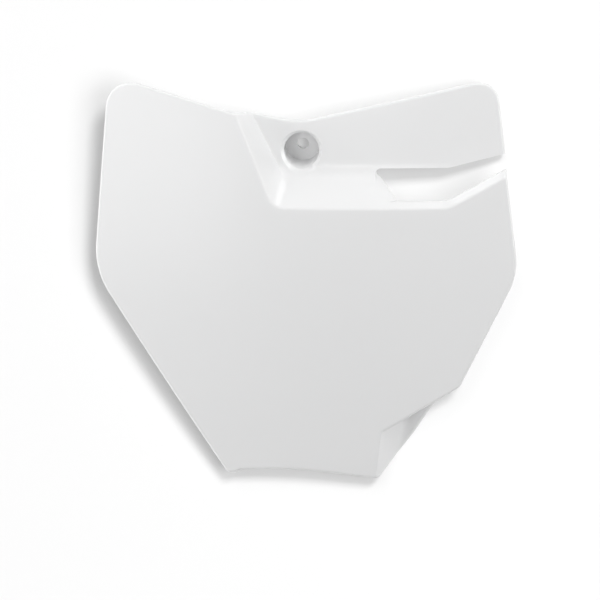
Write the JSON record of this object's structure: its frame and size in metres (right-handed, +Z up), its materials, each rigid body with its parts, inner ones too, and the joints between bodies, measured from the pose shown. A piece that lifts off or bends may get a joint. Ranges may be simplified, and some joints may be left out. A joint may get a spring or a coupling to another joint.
{
  "type": "number board",
  "caption": "Front number board of an off-road motorcycle: bowed plastic panel with a V-shaped top, a recess with a bolt boss, an open hose slot beside it and a hose hook at a lower corner.",
  "frame": {"origin": "on the axis of the bolt hole, at the seat of the bolt's head", "axes": "+X to the right of a viewer in front of the board, +Y along the bolt to the back, +Z up"},
  "size_m": [0.2522, 0.0717, 0.2343],
  "materials": {
    "moulding": "satin white polypropylene"
  },
  "bodies": {
    "root": {"number_board": "moulding"}
  },
  "joints": []
}
